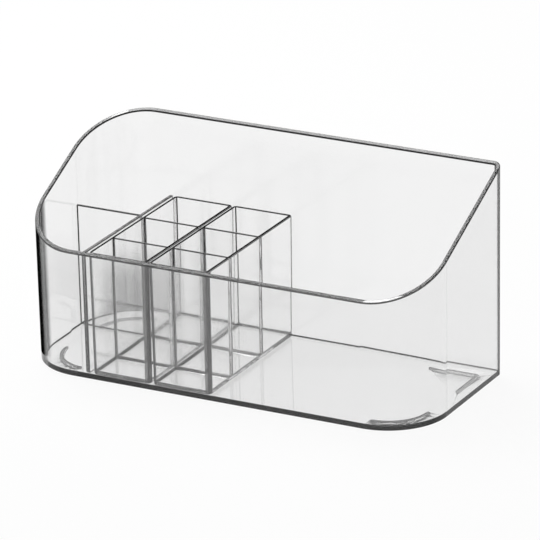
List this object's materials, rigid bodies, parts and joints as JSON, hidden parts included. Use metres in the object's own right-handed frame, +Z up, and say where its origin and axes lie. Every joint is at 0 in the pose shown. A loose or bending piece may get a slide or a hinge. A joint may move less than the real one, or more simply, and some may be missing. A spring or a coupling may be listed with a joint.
{
  "type": "makeup organizer box",
  "caption": "Clear plastic makeup organizer: a tray with a high back, a sloping rim and a low front, holding lift-out pocket bins and a T-shaped divider.",
  "frame": {"origin": "on the table, under the middle of the tray", "axes": "+X to the right as seen from the front along the tray's width, +Y to the back towards the high wall, +Z up"},
  "size_m": [0.2999, 0.126, 0.1497],
  "materials": {
    "clear_plastic": "transparent, very faint cool grey, polished"
  },
  "bodies": {
    "tray": {"tray": "clear_plastic"},
    "side_divider": {"side_divider": "clear_plastic"},
    "left_bin": {"left_bin": "clear_plastic"},
    "right_bin": {"right_bin": "clear_plastic"}
  },
  "joints": [
    {"name": "side_divider_lift", "type": "slide", "parent": "tray", "child": "side_divider", "axis": [0, 0, 1], "range_m": [0, 0.15]},
    {"name": "left_bin_lift", "type": "slide", "parent": "tray", "child": "left_bin", "axis": [0, 0, 1], "range_m": [0, 0.15]},
    {"name": "right_bin_lift", "type": "slide", "parent": "tray", "child": "right_bin", "axis": [0, 0, 1], "range_m": [0, 0.15]}
  ]
}
